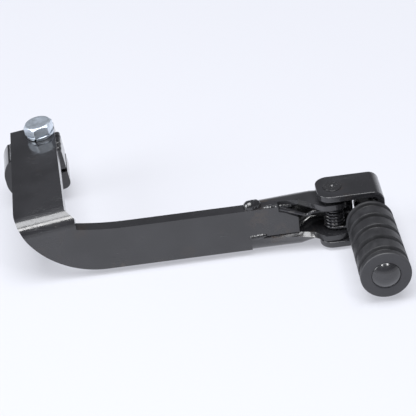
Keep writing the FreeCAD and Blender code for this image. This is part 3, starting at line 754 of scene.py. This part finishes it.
def bead_tree():
    """Uneven balls along a seam, melted into one rough skin."""
    tree = Tree("weld_bead", [
        ("Radius", "Float"), ("Count", "Int"), ("Unevenness", "Float"),
        ("Roughness Height", "Float"), ("Voxel", "Float"), ("Seed", "Int"),
        ("Material", "Material")])
    line = tree.add("GeometryNodeMeshToCurve", {"Mesh": tree.given("Geometry")})
    spots = tree.add("GeometryNodeCurveToPoints", {"Curve": line, "Count": tree.given("Count")})
    least = tree.sum("SUBTRACT", 1.0, tree.given("Unevenness"))
    size = tree.add("FunctionNodeRandomValue", {2: least, 3: 1.0, "Seed": tree.given("Seed")},
                    {"data_type": "FLOAT"}, 1)
    radius = tree.sum("MULTIPLY", size, tree.given("Radius"))
    ball = tree.add("GeometryNodeMeshIcoSphere", {"Radius": 1.0, "Subdivisions": 3})
    scale = tree.add("ShaderNodeCombineXYZ", {0: radius, 1: radius, 2: radius})
    balls = tree.add("GeometryNodeInstanceOnPoints", {"Points": spots, "Instance": ball,
                                                      "Scale": scale})
    real = tree.add("GeometryNodeRealizeInstances", {0: balls})
    cloud = tree.add("GeometryNodeMeshToVolume", {
        "Mesh": real, "Density": 1.0, "Voxel Size": tree.given("Voxel"),
        "Interior Band Width": 0.8 * MM}, {"resolution_mode": "VOXEL_SIZE"})
    skin = tree.add("GeometryNodeVolumeToMesh", {
        "Volume": cloud, "Voxel Size": tree.given("Voxel"), "Threshold": 0.1},
        {"resolution_mode": "VOXEL_SIZE"})
    lumps = tree.add("ShaderNodeTexNoise", {"Scale": LUMPS_PER_METRE, "Detail": 2.0})
    level = tree.sum("SUBTRACT", lumps, LUMP_LEVEL)
    height = tree.sum("MULTIPLY", level, tree.given("Roughness Height"))
    normal = tree.add("GeometryNodeInputNormal", {})
    push = tree.add("ShaderNodeVectorMath", {0: normal, "Scale": height}, {"operation": "SCALE"})
    moved = tree.add("GeometryNodeSetPosition", {"Geometry": skin, "Offset": push})
    return tree.close(moved, tree.given("Material"))


BEAD_TREE = bead_tree()
print("tree:", BEAD_TREE.name)

# %% Where the welds run
TILT = math.radians(7.7)


def from_strip(x, y, z):
    """A point given square to the rear strip, in the lever's own frame, in millimetres."""
    return (x * math.cos(TILT) - z * math.sin(TILT), y, x * math.sin(TILT) + z * math.cos(TILT))


HUB_SEAM_HALF, HUB_SEAM_HEIGHT = 5.6, 9.1


def hub_seam(x):
    """The two ends of a seam between the strip and the hub."""
    return [from_strip(x, y, HUB_SEAM_HEIGHT) for y in (-HUB_SEAM_HALF, HUB_SEAM_HALF)]


# Each row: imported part, body, start, end, radius, number of balls, unevenness.
WELDS = [
    ("bracket_weld_blob", "lever", (79.0, -60.7, 7.9), (81.2, -59.9, 7.6), 2.55, 3, 0.16),
    ("bracket_weld_top", "lever", (84.4, -61.9, 6.9), (88.4, -61.9, 6.7), 1.35, 5, 0.40),
    ("bracket_weld_face", "lever", (79.0, -62.7, -4.3), (83.6, -62.8, -3.9), 1.05, 6, 0.35),
    ("bracket_weld_back", "lever", (82.0, -57.6, 4.4), (94.0, -57.6, 4.4), 1.2, 12, 0.25),
    ("hub_weld_left", "lever", *hub_seam(-4.78), 1.15, 11, 0.2),
    ("hub_weld_right", "lever", *hub_seam(13.19), 1.15, 11, 0.2),
    ("peg_weld_rear", "tip", (120.6, -53.9, 2.8), (125.6, -53.7, 4.0), 1.5, 6, 0.2),
    ("peg_weld_side", "tip", (125.2, -57.2, 3.2), (125.2, -65.4, 3.2), 1.1, 8, 0.25),
    ("peg_weld_under", "tip", (125.2, -57.2, -4.0), (125.2, -65.4, -4.0), 1.1, 8, 0.25),
]
BEAD_SKIN, LUMP_HEIGHT = 0.25, 0.28
FINE_VOXEL, BIG_VOXEL, BIG_BEAD = 0.16, 0.22, 2.0
for seed, (node, body, start, end, radius, balls, uneven) in enumerate(WELDS, 1):
    bead = run_tree(node + "_bead", BEAD_TREE, path_mesh(node + "_seam", [start, end]), {
        "Radius": (radius + BEAD_SKIN) * MM, "Count": balls, "Unevenness": uneven, "Seed": seed,
        "Roughness Height": LUMP_HEIGHT * MM, "Material": WELD_ENAMEL,
        "Voxel": (FINE_VOXEL if radius < BIG_BEAD else BIG_VOXEL) * MM})
    smooth(bead.data)
    dress(bead, WELD_ENAMEL)
    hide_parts(node)
    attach(bead, body)
    print(bead.name, len(bead.data.polygons), "faces")

# %% [markdown]
# ## The ribbed sleeve
#
# The rubber sleeve is a slightly tapered tube with five grooves round it at one pitch. The
# grooves could be cut with five Booleans, which leave ragged edges. Instead a plain tube with
# many rings is made first. Geometry Nodes then pull each ring in by a rule of where it lies, so
# the grooves' number, pitch, width and depth are four named inputs.

# %% Bands of faces between rings, and a turned tube
SLEEVE_REAR_RADIUS, SLEEVE_FRONT_RADIUS = 8.75, 9.25
SLEEVE_BORE = 4.05
SLEEVE_SIDES, SLEEVE_RINGS = 96, 260
REAR_ROUND, FRONT_ROUND = 0.5, 0.6
# Inner end, from the bore outward: how far each ring of the flat end stands from the bore.
REAR_FLAT = (0.0, 1.0, 2.0, 3.0)
# Outer end, inward: (radius, depth below the end face), down into the seat of the dome.
FRONT_FLAT = ((8.2, 0.0), (7.2, 0.0), (6.2, 0.0), (5.3, 0.0), (5.2, 0.5), (SLEEVE_BORE, 0.9))


def bands(shape, rings, closed):
    """Faces between each ring and the next; `closed` joins the last ring to the first."""
    following = rings[1:] + (rings[:1] if closed else [])
    for one, two in zip(rings, following):
        for k in range(len(one)):
            n = (k + 1) % len(one)
            shape.faces.new((one[k], one[n], two[n], two[k]))
    if not closed:
        shape.faces.new(rings[0][::-1])
        shape.faces.new(rings[-1])
    bmesh.ops.recalc_face_normals(shape, faces=shape.faces)


def turned(rows, axis_x, axis_z, sides):
    """A closed tube about an axis along Y, from (radius, y) rows in millimetres."""
    shape = bmesh.new()
    rings = []
    for radius, y in rows:
        rings.append([shape.verts.new((
            (axis_x + radius * math.cos(math.tau * k / sides)) * MM, y * MM,
            (axis_z + radius * math.sin(math.tau * k / sides)) * MM)) for k in range(sides)])
    bands(shape, rings, True)
    mesh = bpy.data.meshes.new("turned")
    shape.to_mesh(mesh)
    shape.free()
    return mesh


def corner(radius, y, size, towards, steps=5):
    """A quarter round between an end face and the outside, as (radius, y) rows."""
    rows = []
    for step in range(steps + 1):
        angle = math.pi / 2 * step / steps
        rows.append((radius - size + size * math.sin(angle),
                     y + towards * size * (1 - math.cos(angle))))
    return rows


sleeve_rows = [(SLEEVE_BORE + out, SLEEVE_INNER) for out in REAR_FLAT]
sleeve_rows += corner(SLEEVE_REAR_RADIUS, SLEEVE_INNER, REAR_ROUND, -1)
first_y, last_y = SLEEVE_INNER - REAR_ROUND, SLEEVE_OUTER + FRONT_ROUND
for step in range(1, SLEEVE_RINGS):
    share = step / SLEEVE_RINGS
    sleeve_rows.append((SLEEVE_REAR_RADIUS + (SLEEVE_FRONT_RADIUS - SLEEVE_REAR_RADIUS) * share,
                        first_y + (last_y - first_y) * share))
sleeve_rows += corner(SLEEVE_FRONT_RADIUS, SLEEVE_OUTER, FRONT_ROUND, 1)[::-1]
sleeve_rows += [(radius, SLEEVE_OUTER + depth) for radius, depth in FRONT_FLAT]
blank = turned(sleeve_rows, *PEG_AXIS, SLEEVE_SIDES)
print("sleeve blank:", len(blank.polygons), "faces")


# %% Grooves by rule
GROOVE_FLOOR = 0.55       # width of a groove's floor as a share of its width


def groove_tree():
    """Pulls the outer skin of a tube in, wherever a groove lies."""
    tree = Tree("grooved_sleeve", [
        ("First Groove", "Float"), ("Pitch", "Float"), ("Grooves", "Int"), ("Width", "Float"),
        ("Depth", "Float"), ("Axis X", "Float"), ("Axis Z", "Float"), ("Least Radius", "Float"),
        ("Material", "Material")])
    sum_of = tree.sum
    spot = tree.add("GeometryNodeInputPosition", {})
    split = tree.group.nodes.new("ShaderNodeSeparateXYZ")
    tree.group.links.new(spot, split.inputs[0])
    along = sum_of("SUBTRACT", tree.given("First Groove"), split.outputs["Y"])
    steps = sum_of("DIVIDE", along, tree.given("Pitch"))
    last = sum_of("SUBTRACT", tree.given("Grooves"), 1.0)
    nearest = sum_of("MINIMUM", sum_of("MAXIMUM", sum_of("ROUND", steps), 0.0), last)
    off = sum_of("MULTIPLY", sum_of("ABSOLUTE", sum_of("SUBTRACT", steps, nearest)),
                 tree.given("Pitch"))
    half = sum_of("DIVIDE", tree.given("Width"), 2.0)
    floor_half = sum_of("MULTIPLY", half, GROOVE_FLOOR)
    pull = tree.add("ShaderNodeMapRange", {0: off, 1: floor_half, 2: half, 3: 1.0, 4: 0.0},
                    {"interpolation_type": "SMOOTHSTEP"})
    east = sum_of("SUBTRACT", split.outputs["X"], tree.given("Axis X"))
    up = sum_of("SUBTRACT", split.outputs["Z"], tree.given("Axis Z"))
    out = tree.add("ShaderNodeCombineXYZ", {0: east, 1: 0.0, 2: up})
    radius = tree.add("ShaderNodeVectorMath", {0: out}, {"operation": "LENGTH"}, "Value")
    outside = sum_of("GREATER_THAN", radius, tree.given("Least Radius"))
    outward = tree.add("ShaderNodeVectorMath", {0: out}, {"operation": "NORMALIZE"})
    depth = sum_of("MULTIPLY", sum_of("MULTIPLY", pull, outside), tree.given("Depth"))
    inward = sum_of("MULTIPLY", depth, -1.0)
    push = tree.add("ShaderNodeVectorMath", {0: outward, "Scale": inward},
                    {"operation": "SCALE"})
    moved = tree.add("GeometryNodeSetPosition", {"Geometry": tree.given("Geometry"),
                                                 "Offset": push})
    return tree.close(moved, tree.given("Material"))


# %% The finished sleeve
FIRST_GROOVE, GROOVE_PITCH, GROOVES = -70.4, 7.65, 5
GROOVE_WIDTH, GROOVE_DEPTH, GROOVES_FROM = 2.9, 1.3, 8.2

sleeve = run_tree("ribbed_sleeve", groove_tree(), blank, {
    "First Groove": FIRST_GROOVE * MM, "Pitch": GROOVE_PITCH * MM, "Grooves": GROOVES,
    "Width": GROOVE_WIDTH * MM, "Depth": GROOVE_DEPTH * MM, "Axis X": PEG_AXIS[0] * MM,
    "Axis Z": PEG_AXIS[1] * MM, "Least Radius": GROOVES_FROM * MM, "Material": RUBBER})
settle(sleeve, RUBBER, "tip", ["rubber_grip"])
print(sleeve.name, len(sleeve.data.polygons), "faces")

# %% [markdown]
# ## Hexagon bolt and spring washer
#
# A forged bolt head is a hexagon whose upper corners are turned off by a cone, which leaves six
# curved edges. A Boolean of the two could make it. Here the height of each vertex is worked out
# from the cone, which keeps the faces even. The shank carries a rolled thread: a ridge that
# follows a helix, so it comes from the same tree as the spring. The washer is a square wire bent
# into one slightly sprung turn, so its section is carried round and stops at the split.

# %% Bolt sizes
BOLT_X = 7.7
HEAD_LOW, HEAD_HEIGHT, ACROSS_FLATS, HEX_TURN = 15.5, 4.0, 10.0, 10.0
CORNER_SHARE = 1.145      # distance to the eased corners as a share of that to the flats
SHANK_LOW, SHANK_RADIUS, CORE_RADIUS = -6.5, 3.0, 2.66
END_CHAMFER, THREAD_STOP, THREAD_RUNOUT = 0.5, 1.9, 0.2
UNDER_RADIUS, UNDER_RISE = 4.75, 0.25
CROWN_TOP, CROWN_SLOPE = 4.7, 1.175
# Rings of the slightly dished top, inward: (radius, depth below the top).
DISH = ((CROWN_TOP, 0.0), (3.6, 0.0), (3.2, 0.10), (1.0, 0.13))
RIM_EASE, RIMS_ABOVE = 0.12, 16.0
PER_SIDE = 12


def hexagon_radius(angle):
    """Distance from the bolt's axis to the hexagon, with corners a hair rounded."""
    within = (angle - math.radians(HEX_TURN)) % (math.pi / 3) - math.pi / 6
    return min(ACROSS_FLATS / 2 / math.cos(within), ACROSS_FLATS / 2 * CORNER_SHARE)


print("hexagon corners at", round(ACROSS_FLATS / 2 * CORNER_SHARE, 2), "mm")


# %% Bolt head and shank
def bolt():
    """Rings of vertices from the shank's end up to the dished top, joined by bands."""
    shape = bmesh.new()
    count = 6 * PER_SIDE
    angles = [math.tau * k / count + math.radians(HEX_TURN) for k in range(count)]
    top = HEAD_LOW + HEAD_HEIGHT

    def ring(radius_of, height_of):
        made = []
        for angle in angles:
            radius = radius_of(angle)
            spot = from_strip(BOLT_X + radius * math.cos(angle), radius * math.sin(angle),
                              height_of(radius))
            made.append(shape.verts.new([c * MM for c in spot]))
        return made

    def crown(radius):
        return top - max(0.0, radius - CROWN_TOP) / CROWN_SLOPE

    def plain(radius, height):
        return ring(lambda a: radius, lambda r: height)

    levels = [
        plain(CORE_RADIUS * 0.35, SHANK_LOW),
        plain(CORE_RADIUS * 0.8, SHANK_LOW),
        plain(CORE_RADIUS, SHANK_LOW + END_CHAMFER),
        plain(CORE_RADIUS, HEAD_LOW - THREAD_STOP),
        plain(SHANK_RADIUS, HEAD_LOW - THREAD_STOP + THREAD_RUNOUT),
        plain(SHANK_RADIUS, HEAD_LOW),
        ring(lambda a: min(hexagon_radius(a), UNDER_RADIUS), lambda r: HEAD_LOW),
        ring(hexagon_radius, lambda r: HEAD_LOW + UNDER_RISE),
        ring(hexagon_radius, crown)]
    levels += [plain(radius, top - depth) for radius, depth in DISH]
    bands(shape, levels, False)
    rims = [e for e in shape.edges if e.calc_face_angle(0.0) > EASE_ANGLE
            and min(v.co.z for v in e.verts) > RIMS_ABOVE * MM]
    ease(shape, rims, RIM_EASE)
    return finish_piece(shape, "hexagon_bolt", BOLT_ZINC, "lever", ["pinch_bolt"])


head = bolt()
print(head.name, len(head.data.polygons), "faces")

# %% Bolt thread
THREAD_RADIUS, THREAD_PITCH, THREAD_SIDES = 0.30, 1.0, 6
THREAD_START, THREAD_END = 0.4, 2.2
THREAD_STEPS = 24

thread_path = []
thread_turns = int((HEAD_LOW - THREAD_END - SHANK_LOW) / THREAD_PITCH)
for step in range(thread_turns * THREAD_STEPS + 1):
    angle = math.tau * step / THREAD_STEPS
    thread_path.append(from_strip(
        BOLT_X + CORE_RADIUS * math.cos(angle), CORE_RADIUS * math.sin(angle),
        SHANK_LOW + THREAD_START + THREAD_PITCH * step / THREAD_STEPS))
thread = run_tree("bolt_thread", WIRE_TREE, path_mesh("thread_path", thread_path),
                  {"Wire Radius": THREAD_RADIUS * MM, "Sides": THREAD_SIDES,
                   "Material": BOLT_ZINC})
settle(thread, BOLT_ZINC, "lever", [])
print(thread.name, thread_turns, "turns,", len(thread.data.polygons), "faces")

# %% Spring washer
WASHER_LOW, WASHER_HIGH = 14.0, 15.5
WASHER_OUTER, WASHER_INNER, WASHER_CORNER = 5.3, 3.2, 0.28
WASHER_GAP = 0.08         # washer to the head and the strip, before it is sprung
WASHER_SPRING = 0.14      # how much higher one end of the wire lies than the other
WASHER_STEPS = 90
SPLIT_AT, SPLIT_HALF = math.radians(242.0), math.radians(5.0)
SPLIT_LEAN = 0.13         # radians that the cut leans for each millimetre of height


def washer_section():
    """Rounded square section of the washer's wire as (radius, height) points."""
    middle = ((WASHER_OUTER + WASHER_INNER) / 2, (WASHER_LOW + WASHER_HIGH) / 2)
    wide = (WASHER_OUTER - WASHER_INNER) / 2 - WASHER_CORNER
    high = (WASHER_HIGH - WASHER_LOW) / 2 - WASHER_GAP - WASHER_CORNER
    points = []
    for quarter, (sx, sz) in enumerate(((1, 1), (-1, 1), (-1, -1), (1, -1))):
        for step in range(4):
            angle = math.pi / 2 * (quarter + step / 3)
            points.append((middle[0] + sx * wide + WASHER_CORNER * math.cos(angle),
                           middle[1] + sz * high + WASHER_CORNER * math.sin(angle)))
    return points


def washer():
    """The section carried once round the bolt, from one side of the split to the other."""
    shape = bmesh.new()
    rings = []
    for k in range(WASHER_STEPS + 1):
        share = k / WASHER_STEPS
        angle = SPLIT_AT + SPLIT_HALF + share * (math.tau - 2 * SPLIT_HALF)
        lift = (share - 0.5) * WASHER_SPRING
        lean_here = SPLIT_LEAN if k in (0, WASHER_STEPS) else 0.0
        ring = []
        for radius, height in washer_section():
            lean = (height - WASHER_LOW) * lean_here
            spot = from_strip(BOLT_X + radius * math.cos(angle + lean),
                              radius * math.sin(angle + lean), height + lift)
            ring.append(shape.verts.new([c * MM for c in spot]))
        rings.append(ring)
    bands(shape, rings, False)
    return finish_piece(shape, "split_washer", WASHER_ZINC, "lever", ["lock_washer"])


lock_ring = washer()
print(lock_ring.name, len(lock_ring.data.polygons), "faces")

# %% [markdown]
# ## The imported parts' own materials
#
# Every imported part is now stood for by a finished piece, so none of them shows. They still get
# the same finishes, in case one is looked at by itself. They could stay bare, but then the
# model would hold parts with no finish at all.

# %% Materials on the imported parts
KEPT = {"pinch_bolt": BOLT_ZINC, "lock_washer": WASHER_ZINC, "torsion_spring": WIRE_STEEL,
        "rubber_grip": RUBBER}
for name in NODES:
    dress(NODES[name], KEPT.get(name, WELD_ENAMEL if "weld" in name else BAR_ENAMEL))
print("packed parts dressed:", len(NODES))
